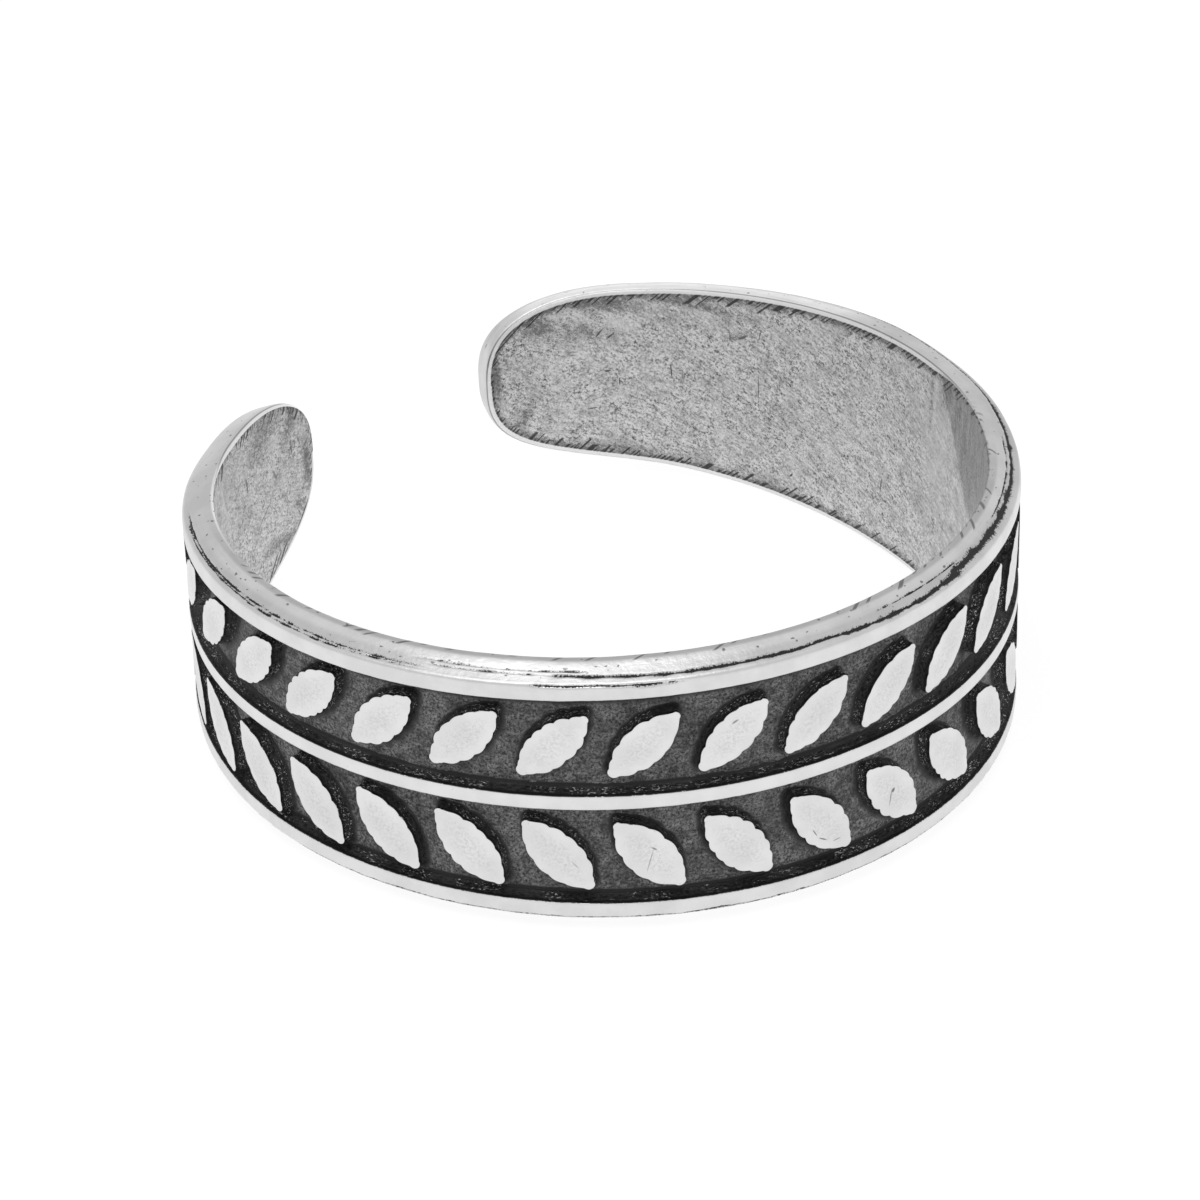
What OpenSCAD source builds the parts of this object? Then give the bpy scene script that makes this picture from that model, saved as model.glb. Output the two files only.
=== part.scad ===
// Open toe ring of cast silver: a band with a gap at the back, two sunken
// panels with a row of raised leaves in each, and a plain ridge between the rows.
// The ring lies on its lower rim. Millimetres, +Z up, front of the band toward -Y.

/* [Band] */
// Outer radius of the front and the left side
ring_r = 8.52; // [7:0.02:10]
// Outer radius of the right side, which stands a little wider
right_r = 9.76; // [9.2:0.02:11]
// Outer radius of the right end, which turns in
right_end_r = 5.8; // [5:0.1:7]
// Outer radius of the left end, which is nearly straight
left_end_r = 14.7; // [12:0.1:20]
// Angle from the front at which the right side begins
right_turn = 52; // [45:1:60]
// Angle from the front at which the right end begins
right_end_turn = 123; // [115:1:130]
// Angle from the front at which the left end begins
left_end_turn = 137.7; // [125:0.1:145]
// Height of the band at the front
band_h = 5.92; // [5:0.02:7]
// Thickness of the wall
wall = 0.67; // [0.55:0.01:0.9]

/* [Rims] */
// Slope of each rim from the front toward the back
rim_slope = 1.61; // [0.5:0.01:2.5]
// Place at which the rims begin to curve, behind the middle of the front arc
curve_y = -1; // [-2:0.1:4]
// Radius of the curved stretch of each rim
curve_r = 88; // [50:1:150]

/* [Opening] */
// Distance between the two round ends
gap_w = 4.7; // [4.2:0.02:6]
// Distance of the middle of that gap to the right of the front
gap_shift = 0.46; // [-0.5:0.02:1]
// Length of the rounded stretch at each end, seen from behind
round_l = 4.2; // [3.4:0.1:4.4]
// Height by which each rounded stretch begins above the rims there
round_rise = 0.03; // [0:0.01:0.08]
// Half angle that the arc at the very tip spans
tip_angle = 74; // [60:1:80]

/* [Panels] */
// Height of the border between a rim and its panel
border_w = 0.58; // [0.4:0.01:0.8]
// Height of the ridge between the two panels
ridge_w = 0.32; // [0.2:0.01:0.5]
// Depth of the panels below the border
relief_d = 0.3; // [0.15:0.01:0.4]

/* [Leaves] */
// Distance from one upper leaf to the next along the outside
upper_pitch = 1.745; // [1.5:0.005:2.2]
// Distance from one lower leaf to the next along the outside
lower_pitch = 1.76; // [1.5:0.005:2.2]
// Distance of the middle upper leaf from the front line
upper_shift = 0.65; // [-0.8:0.01:0.8]
// Distance of the middle lower leaf from the front line
lower_shift = 0.75; // [-0.8:0.01:0.8]
// Length of an upper leaf from its stem to its tip
upper_l = 1.88; // [1.5:0.01:2.1]
// Length of a lower leaf from its stem to its tip
lower_l = 1.97; // [1.5:0.01:2.1]
// Width of an upper leaf
upper_w = 0.92; // [0.5:0.01:1.1]
// Width of a lower leaf
lower_w = 1.02; // [0.5:0.01:1.1]
// Slant of the upper leaves from the ridge
upper_slant = 44.5; // [40:0.5:60]
// Slant of the lower leaves from the ridge
lower_slant = 49; // [40:0.5:60]
// Least distance from a leaf to the border and to the ridge
leaf_clear = 0.04; // [0.02:0.01:0.2]

/* [Hidden] */
$fn = 96;

half_h = band_h / 2;

// The plan is four arcs that meet smoothly, round the middle of the front arc.
// A turn is the angle of the outward normal from the front, positive to the right.
function toward(turn) = [sin(turn), -cos(turn)];
right_c = (ring_r - right_r) * toward(right_turn);
right_end_c = right_c + (right_r - right_end_r) * toward(right_end_turn);
left_end_c = (ring_r - left_end_r) * toward(-left_end_turn);
right_s = ring_r * right_turn * PI / 180;
right_end_s = right_s + right_r * (right_end_turn - right_turn) * PI / 180;
left_end_s = ring_r * left_end_turn * PI / 180;

// Half height of the rims at a place y
curve_drop = (curve_y + ring_r) * tan(rim_slope);
curve_cy = curve_y - curve_r * sin(rim_slope);
curve_cz = half_h - curve_drop - curve_r * cos(rim_slope);
function rim_z(y) =
    y < curve_y ? half_h - (y + ring_r) * tan(rim_slope)
                : curve_cz + sqrt(curve_r * curve_r - (y - curve_cy) * (y - curve_cy));

// Seen from behind, each end is half an oval. At its middle it is hardly taller
// than the band is there on the inside of the wall.
function back_y(x, centre, r) = centre[1] + sqrt(r * r - (x - centre[0]) * (x - centre[0]));
left_tip_x = gap_shift - gap_w / 2;
right_tip_x = gap_shift + gap_w / 2;
left_round_x = left_tip_x - round_l;
right_round_x = right_tip_x + round_l;
// The inside of the wall there, on the end's own arc or on the one before it
left_inside_x = left_end_c[0] - (left_end_r - wall) * sin(left_end_turn);
right_inside_x = right_end_c[0] + (right_end_r - wall) * sin(right_end_turn);
left_round_y = left_round_x > left_inside_x
    ? back_y(left_round_x, left_end_c, left_end_r - wall)
    : back_y(left_round_x, [0, 0], ring_r - wall);
right_round_y = right_round_x < right_inside_x
    ? back_y(right_round_x, right_end_c, right_end_r - wall)
    : back_y(right_round_x, right_c, right_r - wall);
left_end_h = rim_z(left_round_y) + round_rise;
right_end_h = rim_z(right_round_y) + round_rise;
left_tip_s = left_end_s + left_end_r * PI / 180
    * (180 + asin((left_tip_x - left_end_c[0]) / left_end_r) - left_end_turn);
right_tip_s = right_end_s + right_end_r * PI / 180
    * (180 - asin((right_tip_x - right_end_c[0]) / right_end_r) - right_end_turn);

// The ring tips back until its lower rim lies flat, with its box over the origin
shift_x = (ring_r - right_r - right_c[0]) / 2;
tip_y = back_y(left_tip_x, left_end_c, left_end_r) * cos(rim_slope);
front_y = ring_r * cos(rim_slope) + half_h * sin(rim_slope);
shift_y = (front_y - tip_y) / 2;
lift_z = (half_h - ring_r * tan(rim_slope)) * cos(rim_slope);

over = 1;
hair = 0.002;
sector_turn = 30;
reach = 2 * ring_r;
panel_top = half_h - border_w;
panel_h = panel_top - ridge_w / 2;

// A place along the outside, as a turn
function turn_at(s) =
    s < -left_end_s ? -left_end_turn + (s + left_end_s) / left_end_r * 180 / PI
    : s < right_s ? s / ring_r * 180 / PI
    : s < right_end_s ? right_turn + (s - right_s) / right_r * 180 / PI
    : right_end_turn + (s - right_end_s) / right_end_r * 180 / PI;
function arc_r_at(t) =
    t < -left_end_turn ? left_end_r : t < right_turn ? ring_r : t < right_end_turn ? right_r : right_end_r;
function arc_centre_at(t) =
    t < -left_end_turn ? left_end_c : t < right_turn ? [0, 0] : t < right_end_turn ? right_c : right_end_c;
function rim_at(t) = rim_z(arc_centre_at(t)[1] - arc_r_at(t) * cos(t));

// Leaf edge from the stem to the tip: share of the length, share of the half width
LEAF_EDGE = [
    [0, 0.14], [0.03, 0.26], [0.11, 0.30], [0.15, 0.52], [0.25, 0.76],
    [0.29, 0.90], [0.43, 1.00], [0.50, 0.97], [0.62, 0.93], [0.68, 0.78],
    [0.81, 0.58], [0.86, 0.42], [0.97, 0.18], [1, 0.03]
];
// Height of a leaf's middle above the ridge, as a share of the panel's height in front
UPPER_MIDDLE = 0.502;
LOWER_MIDDLE = 0.489;

function leaf_points(l, w) = concat(
    [for (p = LEAF_EDGE) [(p[0] - 0.5) * l, p[1] * w / 2]],
    [for (i = [len(LEAF_EDGE) - 1 : -1 : 0]) [(LEAF_EDGE[i][0] - 0.5) * l, -LEAF_EDGE[i][1] * w / 2]]
);
function leaf_margin(l) = round_l / 2 + l / 3;
function first_leaf(pitch, shift, l) = ceil((leaf_margin(l) - left_tip_s - shift) / pitch);
function last_leaf(pitch, shift, l) = floor((right_tip_s - leaf_margin(l) - shift) / pitch);

// Oval of four arcs: half width along x, half depth along y, the half angle that
// the two end arcs span, and a distance by which the outline moves outward
module oval(half_x, half_y, angle, out) {
    step = (half_y - half_x) / (sin(angle) + cos(angle) - 1);
    side = half_x + step * sin(angle);
    for (end = [-1, 1])
        translate([0, end * step * cos(angle)]) circle(r = side - step + out + hair, $fn = 180);
    for (way = [0, 180])
        rotate(way)
            intersection() {
                translate([-step * sin(angle), 0]) circle(r = side + out, $fn = 180);
                polygon([[-step * sin(angle), 0],
                         [2 * side, -(2 * side + step * sin(angle)) / tan(angle)],
                         [2 * side, (2 * side + step * sin(angle)) / tan(angle)]]);
            }
}

// The part of a disc that lies between two turns
module sector(centre, r, turn_a, turn_b) {
    far = 2 * r;
    middle = (turn_a + turn_b) / 2;
    translate(centre)
        intersection() {
            circle(r = r, $fn = 180);
            polygon([[0, 0], far * toward(turn_a), far * toward(middle), far * toward(turn_b)]);
        }
}

// The band's plan, moved outward by a distance. The discs are larger by a hair, so
// that they cross the other arcs cleanly.
module plan(out) {
    circle(r = ring_r + out + hair, $fn = 180);
    translate(right_end_c) circle(r = right_end_r + out + hair, $fn = 180);
    sector(right_c, right_r + out, right_turn, right_end_turn);
    sector(left_end_c, left_end_r + out, -left_end_turn, -left_end_turn - sector_turn);
}

// Side view of the band, y against height, less an inset at both rims: a wedge, and
// behind curve_y the lens of two discs, larger by a hair so that it crosses the wedge
module side_outline(inset) {
    near_y = -ring_r - over;
    far_y = ring_r + over;
    near_z = rim_z(near_y) - inset;
    far_z = near_z - (far_y - near_y) * tan(rim_slope);
    intersection() {
        polygon([[near_y, -near_z], [far_y, -far_z], [far_y, far_z], [near_y, near_z]]);
        union() {
            translate([near_y - over, -band_h])
                square([curve_y - near_y + over, 2 * band_h]);
            intersection() {
                translate([curve_cy, curve_cz]) circle(r = curve_r - inset + hair, $fn = 720);
                translate([curve_cy, -curve_cz]) circle(r = curve_r - inset + hair, $fn = 720);
            }
        }
    }
}

// Whatever lies between the rims, all the way across
module between_rims(inset) {
    rotate([90, 0, 90])
        linear_extrude(height = 2 * reach, center = true)
            side_outline(inset);
}

// What is cut away behind to leave the two round ends, less an inset
module end_cut(inset) {
    rotate([90, 0, 0])
        translate([0, 0, -reach])
            linear_extrude(height = reach)
                difference() {
                    translate([left_round_x, -half_h])
                        square([right_round_x - left_round_x, band_h]);
                    translate([left_round_x, 0])
                        rotate(90) oval(left_end_h, round_l, tip_angle, -inset);
                    translate([right_round_x, 0])
                        rotate(90) oval(right_end_h, round_l, tip_angle, -inset);
                }
}

// One leaf, standing square to the band at a place s along it. Where the panel gets too
// low for it, the leaf first moves toward the ridge and then gets smaller.
module leaf_at(s, row, l, w, slant, share) {
    t = turn_at(s);
    panel = rim_at(t) - border_w - ridge_w / 2;
    tall = sqrt(pow(l * sin(slant), 2) + pow(w * cos(slant), 2));
    fit = min(1, (panel - 2 * leaf_clear) / tall);
    middle = min(share * panel_h, panel - leaf_clear - fit * tall / 2);
    points = [for (p = leaf_points(l * fit, w * fit)) [
        row * (p[0] * cos(slant) - p[1] * sin(slant)),
        p[0] * sin(slant) + p[1] * cos(slant)]];
    translate(arc_centre_at(t))
        rotate([0, 0, t])
            translate([0, -arc_r_at(t) - over / 2, row * (ridge_w / 2 + middle)])
                rotate([-90, 0, 0])
                    linear_extrude(height = over)
                        mirror([0, 1]) polygon(points);
}

// Every leaf of one row: 1 is the upper row, -1 the lower
module leaf_row(row, pitch, shift, l, w, slant, share) {
    for (i = [first_leaf(pitch, shift, l) : last_leaf(pitch, shift, l)])
        leaf_at(shift + i * pitch, row, l, w, slant, share);
}

// Both rows of leaves
module leaves() {
    leaf_row(1, upper_pitch, upper_shift, upper_l, upper_w, upper_slant, UPPER_MIDDLE);
    leaf_row(-1, lower_pitch, lower_shift, lower_l, lower_w, lower_slant, LOWER_MIDDLE);
}

// The two sunken panels, with the leaves left standing
module panels() {
    difference() {
        linear_extrude(height = band_h, center = true)
            difference() {
                plan(over);
                plan(-relief_d);
            }
        difference() {
            cube([2 * reach, 2 * reach, 2 * band_h], center = true);
            between_rims(border_w);
        }
        cube([2 * reach, 2 * reach, ridge_w], center = true);
        end_cut(border_w);
        leaves();
    }
}

// The cast band, lying on its lower rim
module leaf_band() {
    color("silver")
        translate([shift_x, shift_y, lift_z])
            rotate([-rim_slope, 0, 0])
                difference() {
                    intersection() {
                        linear_extrude(height = band_h, center = true)
                            difference() {
                                plan(0);
                                plan(-wall);
                            }
                        between_rims(0);
                    }
                    end_cut(0);
                    panels();
                }
}

leaf_band();
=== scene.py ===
import math
from functools import lru_cache

import bpy
import numpy as np
from mathutils import Matrix, Vector


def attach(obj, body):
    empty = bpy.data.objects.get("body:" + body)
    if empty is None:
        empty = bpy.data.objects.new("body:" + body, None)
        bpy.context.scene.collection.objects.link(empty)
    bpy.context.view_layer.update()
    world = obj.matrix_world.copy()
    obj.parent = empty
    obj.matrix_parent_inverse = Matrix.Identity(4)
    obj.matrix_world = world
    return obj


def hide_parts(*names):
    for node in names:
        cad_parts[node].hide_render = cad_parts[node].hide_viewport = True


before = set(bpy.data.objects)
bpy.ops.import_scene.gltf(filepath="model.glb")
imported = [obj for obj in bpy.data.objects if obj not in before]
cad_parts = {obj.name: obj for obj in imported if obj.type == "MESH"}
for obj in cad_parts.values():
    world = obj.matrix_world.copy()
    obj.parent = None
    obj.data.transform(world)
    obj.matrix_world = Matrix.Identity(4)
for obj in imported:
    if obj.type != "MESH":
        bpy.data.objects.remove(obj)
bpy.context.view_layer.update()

# Sizes are in millimetres and angles in degrees. A place on the band is given by s, z and
# d: the way along its outside from the front, the height above its middle and the depth
# below its outer surface. A turn is the angle of the outward normal from the front.

# The plan and the rims, with the values of the CAD part
RING_R = 8.52
RIGHT_R = 9.76
RIGHT_END_R = 5.8
LEFT_END_R = 14.7
RIGHT_TURN = 52.0
RIGHT_END_TURN = 123.0
LEFT_END_TURN = 137.7
BAND_H = 5.92
WALL = 0.67
RIM_SLOPE = 1.61
CURVE_Y = -1.0
CURVE_R = 88.0
LEFT_TIP_TURN = 155.0
RIGHT_TIP_TURN = 175.9
# How far each end bends up, and the power of that bend
LEFT_LIFT = 0.10
RIGHT_LIFT = 0.17
LIFT_POWER = 1.3
# Length of each rounded end along the outside, and the power of its outline
LEFT_TONGUE = (3.95, 2.75)
RIGHT_TONGUE = (4.0, 2.65)
RIDGE_W = 0.32
# Distance of a panel's edge below the crest of its rim
PANEL_EDGE = 0.60
# The leaves of the upper and of the lower row: distance from one to the next, place of
# the middle one, length, width, slant, and height of the middle above the ridge
UPPER_LEAVES = (1.745, 0.65, 1.88, 0.86, 44.0, 1.070)
LOWER_LEAVES = (1.76, 0.75, 1.98, 0.955, 48.5, 1.086)
LEAF_CLEAR = 0.03
# The leaves beside the front stand higher by this, fully so at the second distance from
# the lowest ones and not at all at the first
LEAF_RISE = 0.052
LOWEST_LEAF_S = -1.0
RISE_FROM, RISE_TO = 1.5, 5.0
# The length of the round ends, where no leaf stands
ROUND_L = 4.2

# The camera, placed round the middle of the ring. The field's width is the one at the
# ring. The pixels are those of the 1200 by 1200 image, and the clip distances are metres.
AIM = (0.0, 0.61, 0.0)
CAMERA_DISTANCE = 95.43
CAMERA_AZIMUTH = -35.2
CAMERA_ELEVATION = 30.15
CAMERA_ROLL = -1.73
FIELD_W = 24.84
SENSOR_W = 36.0
IMAGE_PX = 1200.0
AXIS_PX = (585.84, 565.90)
CLIP_START = 0.005
CLIP_END = 10

MM = 0.001
# Columns of faces along the band, and points of the outline from which they are spaced
COLUMNS = 740
END_POINTS = 4001
MIDDLE_POINTS = 8001

# The material slots of every piece, in this order
RECESS, POLISHED, INNER, CAST_WALL, WORN_RIM = range(5)
# The third value of the mask "rim", which tells the two sides of the band apart
UPPER_SIDE, LOWER_SIDE = 0.0, 20.0

# Seeds of the noise fields, and the distance between two parts of one field
BODY_SEED, OUTLINE_SEED, START_SEED, COUNT_SEED, SCALLOP_SEED = range(5, 10)
FOOT_SEED = 21
UPPER_WEAR_SEED = 31
DENT_SEED = 41
LOWER_WEAR_AND_SHADE_SEED = 61
FLOOR_SEED = 71
INNER_SEED = 81
RIDGE_SEED = 91
LEAF_WALL_SEED = 101
APART = 50.0

LATTICE_SIZE = 256


@lru_cache(maxsize=None)
def lattice(seed):
    """A square of random numbers, made once for each seed."""
    return np.random.RandomState(seed).uniform(-1.0, 1.0, (LATTICE_SIZE, LATTICE_SIZE))


def noise(x, y, seed):
    """Smooth value noise from -1 to 1, one lattice step per unit."""
    grid = lattice(seed)
    x, y = np.broadcast_arrays(x, y)
    xi, yi = np.floor(x).astype(int), np.floor(y).astype(int)
    fx, fy = (f * f * (3 - 2 * f) for f in (x - xi, y - yi))
    xi, yi, xj, yj = (v % LATTICE_SIZE for v in (xi, yi, xi + 1, yi + 1))
    near = grid[xi, yi] * (1 - fx) + grid[xj, yi] * fx
    far = grid[xi, yj] * (1 - fx) + grid[xj, yj] * fx
    return near * (1 - fy) + far * fy


def fractal(x, y, seed):
    """Three octaves of noise, from -1 to 1."""
    sizes = (1.0, 0.5, 0.25)
    total = 0.0
    for k, size in enumerate(sizes):
        total = total + size * noise(x * 2 ** k, y * 2 ** k, seed + k)
    return total / sum(sizes)


def smooth(lo, hi, x):
    """A soft step from 0 at lo to 1 at hi."""
    t = np.clip((x - lo) / (hi - lo), 0, 1)
    return t * t * (3 - 2 * t)


def toward(turn):
    """The direction of a turn in the plan."""
    t = np.radians(turn)
    return np.array([np.sin(t), -np.cos(t)])


RIGHT_C = (RING_R - RIGHT_R) * toward(RIGHT_TURN)
RIGHT_END_C = RIGHT_C + (RIGHT_R - RIGHT_END_R) * toward(RIGHT_END_TURN)
LEFT_END_C = (RING_R - LEFT_END_R) * toward(-LEFT_END_TURN)
RIGHT_S = RING_R * math.radians(RIGHT_TURN)
RIGHT_END_S = RIGHT_S + RIGHT_R * math.radians(RIGHT_END_TURN - RIGHT_TURN)
LEFT_END_S = RING_R * math.radians(LEFT_END_TURN)
RIGHT_TIP_S = RIGHT_END_S + RIGHT_END_R * math.radians(RIGHT_TIP_TURN - RIGHT_END_TURN)
LEFT_TIP_S = LEFT_END_S + LEFT_END_R * math.radians(LEFT_TIP_TURN - LEFT_END_TURN)

# The ring tips back until its lower rim lies flat, with its box over the origin
TILT = math.radians(RIM_SLOPE)
TIP_Y = (LEFT_END_C[1] - LEFT_END_R * math.cos(math.radians(LEFT_TIP_TURN))) * math.cos(TILT)
FRONT_Y = RING_R * math.cos(TILT) + BAND_H / 2 * math.sin(TILT)
SHIFT = np.array([
    (RING_R - RIGHT_R - RIGHT_C[0]) / 2,
    (FRONT_Y - TIP_Y) / 2,
    (BAND_H / 2 - RING_R * math.tan(TILT)) * math.cos(TILT),
])


def turn_at(s):
    """The angle of the outward normal at a place s along the outside."""
    left = -LEFT_END_TURN + np.degrees((s + LEFT_END_S) / LEFT_END_R)
    right = RIGHT_TURN + np.degrees((s - RIGHT_S) / RIGHT_R)
    end = RIGHT_END_TURN + np.degrees((s - RIGHT_END_S) / RIGHT_END_R)
    middle = np.degrees(s / RING_R)
    arcs = [s < -LEFT_END_S, s < RIGHT_S, s < RIGHT_END_S]
    return np.select(arcs, [left, middle, right], end)


def plan_point(s, d):
    """A place in the plan, s along the outside and d below it."""
    t = turn_at(s)
    arcs = [t < -LEFT_END_TURN, t < RIGHT_TURN, t < RIGHT_END_TURN]
    r = np.select(arcs, [LEFT_END_R, RING_R, RIGHT_R], RIGHT_END_R)
    cx = np.select(arcs, [LEFT_END_C[0], 0.0, RIGHT_C[0]], RIGHT_END_C[0])
    cy = np.select(arcs, [LEFT_END_C[1], 0.0, RIGHT_C[1]], RIGHT_END_C[1])
    n = toward(t)
    return cx + (r - d) * n[0], cy + (r - d) * n[1]


def to_frame(points):
    """From the plan's frame to the part's frame, in metres."""
    x, y, z = np.moveaxis(points, -1, 0)
    c, s = math.cos(TILT), math.sin(TILT)
    return (np.stack([x, y * c + z * s, z * c - y * s], -1) + SHIFT) * MM


def lift(s):
    """How far the two ends bend up toward their tips."""
    left = np.clip(1 - (s + LEFT_TIP_S) / LEFT_TONGUE[0], 0, 1)
    right = np.clip(1 - (RIGHT_TIP_S - s) / RIGHT_TONGUE[0], 0, 1)
    return LEFT_LIFT * left ** LIFT_POWER + RIGHT_LIFT * right ** LIFT_POWER


def place(s, z, d):
    """A place on the band in the part's frame, in metres."""
    x, y = plan_point(s, d)
    return to_frame(np.stack([x, y, z + lift(s) + 0 * x], -1))


def rim_z(y):
    """Half height of the band at a place from front to back: straight, then curved."""
    slope = math.tan(TILT)
    cy = CURVE_Y - CURVE_R * math.sin(TILT)
    cz = BAND_H / 2 - (CURVE_Y + RING_R) * slope - CURVE_R * math.cos(TILT)
    straight = BAND_H / 2 - (y + RING_R) * slope
    curved = cz + np.sqrt(np.maximum(CURVE_R ** 2 - (y - cy) ** 2, 0))
    return np.where(y < CURVE_Y, straight, curved)


def crest_z(s):
    """Half height of the band at s, at the crest of its rims, without the round ends."""
    return rim_z(plan_point(s, WALL / 2)[1])


def outline():
    """The crest line of the upper rim from the left tip to the right tip, evenly spaced:
    places s, heights z and the outward normals of that line."""
    share = np.linspace(0, 1, END_POINTS)
    left_l, right_l = LEFT_TONGUE[0], RIGHT_TONGUE[0]
    middle = np.linspace(-LEFT_TIP_S + left_l, RIGHT_TIP_S - right_l, MIDDLE_POINTS)[1:-1]
    left = -LEFT_TIP_S + left_l * share ** 2
    right = RIGHT_TIP_S - right_l * share ** 2
    s = np.r_[left, middle, right[::-1]]
    z = crest_z(s)
    ends = ((LEFT_TONGUE, s + LEFT_TIP_S), (RIGHT_TONGUE, RIGHT_TIP_S - s))
    for (size, power), from_tip in ends:
        f = np.clip(from_tip / size, 0, 1)
        z = z * (1 - (1 - f) ** power) ** (1 / power)
    length = np.r_[0, np.cumsum(np.hypot(np.diff(s), np.diff(z)))]
    even = np.linspace(0, length[-1], COLUMNS + 1)
    half_step = 0.5 * (length[-1] / COLUMNS)
    si, zi = np.interp(even, length, s), np.interp(even, length, z)
    ahead, behind = even + half_step, even - half_step
    ds, dz = (np.interp(ahead, length, v) - np.interp(behind, length, v) for v in (s, z))
    size = np.hypot(ds, dz)
    ns, nz = -dz / size, ds / size
    ns[0], nz[0], ns[-1], nz[-1] = -1, 0, 1, 0
    zi[0] = zi[-1] = 0
    return si, zi, ns, nz


def add_object(name, data):
    thing = bpy.data.objects.new(name, data)
    bpy.context.scene.collection.objects.link(thing)
    return thing


class Shell:
    """Collects points with their masks, and faces with their material slots. The faces
    of a mirrored shell are turned, so that they look outward too."""

    def __init__(self, mirrored=False):
        self.mirrored = mirrored
        self.points, self.flat, self.rim, self.dark = [], [], [], []
        self.faces, self.slots = [], []
        self.count = 0

    def add(self, s, z, d, dark, along=0.0):
        """Adds points at the places s, z and d, and returns their indices."""
        values = [np.asarray(v, float) for v in (s, z, d, dark, along)]
        s, z, d, dark, along = np.broadcast_arrays(*values)
        start = self.count
        self.points.append(place(s, z, d).reshape(-1, 3))
        self.flat.append(np.stack([s, z, d], -1).reshape(-1, 3))
        side = np.where(z > 0, UPPER_SIDE, LOWER_SIDE)
        self.rim.append(np.stack([s, along, side], -1).reshape(-1, 3))
        self.dark.append(dark.reshape(-1))
        self.count += s.size
        return start + np.arange(s.size)

    def face(self, loop, slot):
        """Adds a face. A point that comes twice in its loop is taken once."""
        loop = list(dict.fromkeys(loop))
        self.faces.append(loop[::-1] if self.mirrored else loop)
        self.slots.append(slot)

    def band(self, a, b, slot, closed=True):
        """Adds the faces between two rows of points."""
        n = len(a)
        for i in range(n if closed else n - 1):
            j = (i + 1) % n
            self.face([a[i], a[j], b[j], b[i]], slot)

    def piece(self, name, materials):
        """The mesh object with its masks: flat holds s, z and d, rim holds s, the way
        along the rim's section and the side, and dark holds how tarnished it is, with
        painted shade below the leaves and along the lower edge."""
        mesh = bpy.data.meshes.new(name)
        mesh.vertices.add(self.count)
        points = np.concatenate(self.points)
        mesh.vertices.foreach_set("co", np.asarray(points, np.float32).ravel())
        sizes = np.array([len(f) for f in self.faces])
        mesh.loops.add(int(sizes.sum()))
        mesh.loops.foreach_set("vertex_index", np.concatenate(self.faces))
        mesh.polygons.add(len(self.faces))
        mesh.polygons.foreach_set("loop_start", np.r_[0, np.cumsum(sizes)[:-1]])
        mesh.polygons.foreach_set("loop_total", sizes)
        mesh.polygons.foreach_set("material_index", self.slots)
        mesh.polygons.foreach_set("use_smooth", np.ones(len(self.faces), bool))
        for material in materials:
            mesh.materials.append(material)
        for key, kind, field, values in (("flat", "FLOAT_VECTOR", "vector", self.flat),
                                         ("rim", "FLOAT_VECTOR", "vector", self.rim),
                                         ("dark", "FLOAT", "value", self.dark)):
            layer = mesh.attributes.new(key, kind, "POINT")
            values = np.asarray(np.concatenate(values), np.float32)
            layer.data.foreach_set(field, values.ravel())
        mesh.update(calc_edges=True)
        mesh.validate()
        return add_object(name, mesh)


# The wall of the panel, from its foot to its edge. The wall at the lower border faces up
# and is seen, the one at the upper border isn't. Columns: distance from the crest line
# at the upper and at the lower border, depth, tarnish at the upper and at the lower border
FOOT = [
    (0.920, 0.780, 0.300, 0.0, 0.0),
    (0.820, 0.725, 0.300, 0.6, 0.95),
    (0.720, 0.690, 0.292, 1.0, 0.90),
    (0.684, 0.664, 0.262, 1.0, 0.55),
    (0.654, 0.645, 0.190, 1.0, 0.40),
    (0.634, 0.632, 0.110, 1.0, 0.45),
    (0.622, 0.622, 0.050, 1.0, 0.95),
    (0.614, 0.614, 0.018, 1.0, 1.0),
]
# The row from which it is steep
FOOT_STEEP = 3
# The rim's section from there over the border and the crest to the inner wall, before
# its corners are cut off. Columns: distance from the crest line, and depth
RIM = [
    (0.604, 0.002), (0.58, -0.004), (0.44, -0.005), (0.33, -0.002), (0.262, 0.02),
    (0.222, 0.11), (0.11, 0.3), (0.02, 0.47), (0, 0.56), (0.012, 0.628), (0.06, 0.662),
    (0.14, 0.669), (0.27, 0.669),
]
# The same where the rims are flattest, at the right side and the two ends
FLAT_RIM = [
    (0.604, 0.002), (0.56, -0.004), (0.4, -0.005), (0.26, -0.002), (0.165, 0.015),
    (0.105, 0.08), (0.05, 0.27), (0.012, 0.45), (0, 0.545), (0.01, 0.622), (0.055, 0.66),
    (0.14, 0.669), (0.27, 0.669),
]
# The ways along that section at which a row of points lies, close where lines are worn
RIM_ROWS = np.r_[0, 0.02, 0.07, 0.13, 0.19, 0.24, np.arange(0.28, 0.70, 0.02), 0.72, 0.76,
                 0.80, 0.84, 0.87, 0.90, 0.93, 0.96, 1.00, 1.05, 1.12, 1.20]
ROUND_PASSES = 3
SECTION_STEP = 0.01
GROOVE_DEPTH = 0.045
DENT_DEPTH = 0.006
# The way at which the rim's look ends and that of the inner wall begins
RIM_END_WAY = 1.07
# Rows of faces across the panels' floor and the inner wall
FLOOR_ROWS = 22
INNER_ROWS = 12
# How far from its edge a panel or the inner wall reaches its own depth
PATCH_BLEND = 0.25

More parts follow.
